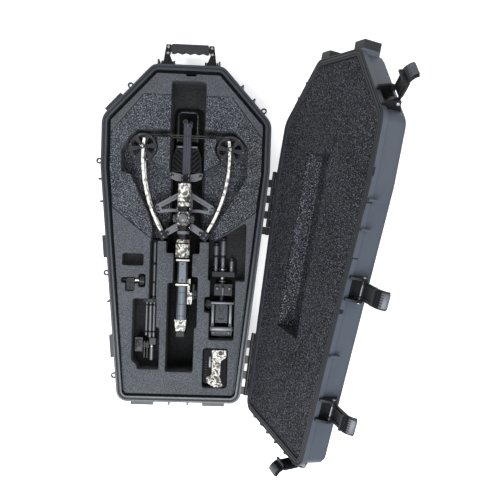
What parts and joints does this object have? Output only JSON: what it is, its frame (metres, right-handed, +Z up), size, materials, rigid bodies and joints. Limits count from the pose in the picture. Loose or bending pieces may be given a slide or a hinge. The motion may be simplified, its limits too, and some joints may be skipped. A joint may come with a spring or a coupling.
{
  "type": "crossbow transport case",
  "caption": "Hinged coffin-shaped hard case with cut foam holding a reverse-draw crossbow with scope, a rangefinder, a folded tripod, a monopod and a small knob tool.",
  "frame": {"origin": "centre of the base's underside, on the case's own symmetry plane", "axes": "+X towards the lid's hinge side, +Y along the case towards the carry handle, +Z up with the case lying on its back, lid open"},
  "size_m": [0.8073, 1.1881, 0.6718],
  "materials": {
    "shell": "moulded blue-grey plastic with a fine grain",
    "gasket": "soft black rubber",
    "smooth_foam": "closed-cell foam, cut smooth",
    "pebbled_foam": "closed-cell foam with a pebbled skin",
    "black_plastic": "black moulded plastic",
    "dark_plastic": "dark grey moulded plastic",
    "latch_plastic": "dark grey glass-filled plastic",
    "grip_rubber": "ribbed soft grip",
    "steel": "bright steel",
    "black_metal": "black anodised",
    "rail_metal": "dark anodised",
    "grey_metal": "grey cerakote-like coating",
    "cam_metal": "dark machined aluminium",
    "camo_limb": "snow camouflage over laminated fibre",
    "camo_scope": "snow camouflage film",
    "cream_plastic": "cream moulded plastic",
    "blue_grey_plastic": "light blue-grey moulded plastic",
    "red_plastic": "red moulded plastic",
    "string_fibre": "served cord",
    "lens": "coated glass"
  },
  "bodies": {
    "base": {"base_shell": "shell", "rim_gasket": "gasket", "base_foam": "smooth_foam", "insert_foam": "pebbled_foam", "base_hinge_knuckles": "black_plastic", "hinge_pins": "steel", "latch_keepers": "dark_plastic", "handle_brackets": "black_plastic", "relief_valve": "black_plastic"},
    "lid": {"lid_shell": "shell", "lid_foam": "pebbled_foam", "lid_hinge_knuckles": "black_plastic", "latch_brackets": "black_plastic", "latch_pins": "steel"},
    "latch_1": {"latch_lever_1": "latch_plastic"},
    "latch_2": {"latch_lever_2": "latch_plastic"},
    "latch_3": {"latch_lever_3": "latch_plastic"},
    "latch_4": {"latch_lever_4": "latch_plastic"},
    "latch_5": {"latch_lever_5": "latch_plastic"},
    "handle": {"handle_frame": "black_plastic", "handle_grip": "grip_rubber", "handle_screws": "steel"},
    "crossbow": {"bow_rail": "rail_metal", "bow_stirrup": "black_metal", "bow_foregrip": "black_plastic", "bow_front_bridge": "grey_metal", "bow_riser": "grey_metal", "bow_rear_arms": "grey_metal", "bow_limbs": "camo_limb", "bow_limb_pockets": "black_metal", "bow_cam_axles": "steel", "bow_string": "string_fibre", "bow_receiver": "black_metal", "bow_pistol_grip": "black_plastic", "bow_stock": "black_plastic", "bow_cheekpiece": "blue_grey_plastic", "bow_stock_bands": "cream_plastic", "bow_butt_pad": "gasket", "bow_crank_housing": "camo_scope", "bow_screws": "steel", "scope_tube": "black_metal", "scope_housings": "camo_scope", "scope_lenses": "lens", "scope_rings": "black_metal"},
    "trigger": {"bow_trigger": "steel"},
    "safety": {"bow_safety": "red_plastic"},
    "cam_left": {"bow_cam_left": "cam_metal"},
    "cam_right": {"bow_cam_right": "cam_metal"},
    "crank": {"bow_crank_lever": "black_plastic"},
    "elevation_dial": {"scope_elevation_knob": "grey_metal"},
    "windage_dial": {"scope_windage_knob": "black_metal"},
    "focus_dial": {"scope_focus_knob": "black_metal"},
    "power_ring": {"scope_power_ring": "grey_metal"},
    "rangefinder": {"rangefinder_body": "camo_scope", "rangefinder_lenses": "lens"},
    "tripod": {"tripod_legs": "grey_metal", "tripod_head": "black_metal"},
    "monopod": {"monopod_tubes": "grey_metal", "monopod_clamp": "black_plastic"},
    "knob_tool": {"knob_tool": "black_plastic"}
  },
  "joints": [
    {"name": "lid_hinge", "type": "hinge", "parent": "base", "child": "lid", "pos_m": [0.20293, -0.51644, 0.13], "axis": [0.0961, 0.9954, 0], "range_deg": [-110, 8]},
    {"name": "latch_1_turn", "type": "hinge", "parent": "lid", "child": "latch_1", "pos_m": [0.49845, 0.33084, 0.60348], "axis": [-0.1289, 0.8135, -0.5672], "range_deg": [-80, 80]},
    {"name": "latch_2_turn", "type": "hinge", "parent": "lid", "child": "latch_2", "pos_m": [0.44737, -0.11022, 0.58017], "axis": [0.1594, 0.9707, 0.1797], "range_deg": [-95, 65]},
    {"name": "latch_3_turn", "type": "hinge", "parent": "lid", "child": "latch_3", "pos_m": [0.39853, -0.40766, 0.52511], "axis": [0.1594, 0.9707, 0.1797], "range_deg": [-95, 65]},
    {"name": "latch_4_turn", "type": "hinge", "parent": "lid", "child": "latch_4", "pos_m": [0.3408, -0.5717, 0.41053], "axis": [0.3296, -0.1283, 0.9353], "range_deg": [-10, 150]},
    {"name": "latch_5_turn", "type": "hinge", "parent": "lid", "child": "latch_5", "pos_m": [0.26861, -0.5436, 0.20569], "axis": [0.3296, -0.1283, 0.9353], "range_deg": [-155, 5]},
    {"name": "handle_fold", "type": "hinge", "parent": "base", "child": "handle", "pos_m": [0, 0.528, 0.086], "axis": [1, 0, 0], "range_deg": [-80, 0]},
    {"name": "crossbow_lift", "type": "slide", "parent": "base", "child": "crossbow", "axis": [0, 0, 1], "range_m": [0, 0.25]},
    {"name": "trigger_pull", "type": "hinge", "parent": "crossbow", "child": "trigger", "pos_m": [0, -0.036, 0.07], "axis": [1, 0, 0], "range_deg": [-12, 0]},
    {"name": "safety_slide", "type": "slide", "parent": "crossbow", "child": "safety", "axis": [0, 1, 0], "range_m": [0, 0.005]},
    {"name": "cam_right_turn", "type": "hinge", "parent": "crossbow", "child": "cam_right", "pos_m": [0.1345, 0.267, 0.1], "axis": [0, 0, 1], "range_deg": [0, 150]},
    {"name": "cam_left_turn", "type": "hinge", "parent": "crossbow", "child": "cam_left", "pos_m": [-0.1345, 0.267, 0.1], "axis": [0, 0, 1], "range_deg": [-150, 0]},
    {"name": "crank_turn", "type": "hinge", "parent": "crossbow", "child": "crank", "pos_m": [0.03, -0.194, 0.096], "axis": [1, 0, 0], "continuous": true},
    {"name": "elevation_turn", "type": "hinge", "parent": "crossbow", "child": "elevation_dial", "pos_m": [0, 0.05, 0.168], "axis": [0, 0, 1], "range_deg": [0, 300]},
    {"name": "windage_turn", "type": "hinge", "parent": "crossbow", "child": "windage_dial", "pos_m": [0.026, 0.05, 0.143], "axis": [1, 0, 0], "range_deg": [0, 300]},
    {"name": "focus_turn", "type": "hinge", "parent": "crossbow", "child": "focus_dial", "pos_m": [-0.026, 0.05, 0.143], "axis": [1, 0, 0], "range_deg": [0, 300]},
    {"name": "power_turn", "type": "hinge", "parent": "crossbow", "child": "power_ring", "pos_m": [0, 0.007, 0.143], "axis": [0, 1, 0], "range_deg": [0, 150]},
    {"name": "rangefinder_lift", "type": "slide", "parent": "base", "child": "rangefinder", "axis": [0, 0, 1], "range_m": [0, 0.16]},
    {"name": "tripod_lift", "type": "slide", "parent": "base", "child": "tripod", "axis": [0, 0, 1], "range_m": [0, 0.16]},
    {"name": "monopod_lift", "type": "slide", "parent": "base", "child": "monopod", "axis": [0, 0, 1], "range_m": [0, 0.16]},
    {"name": "knob_tool_lift", "type": "slide", "parent": "base", "child": "knob_tool", "axis": [0, 0, 1], "range_m": [0, 0.12]}
  ],
  "couplings": [
    {"joint": "cam_left_turn", "follows": "cam_right_turn", "ratio": -1}
  ]
}
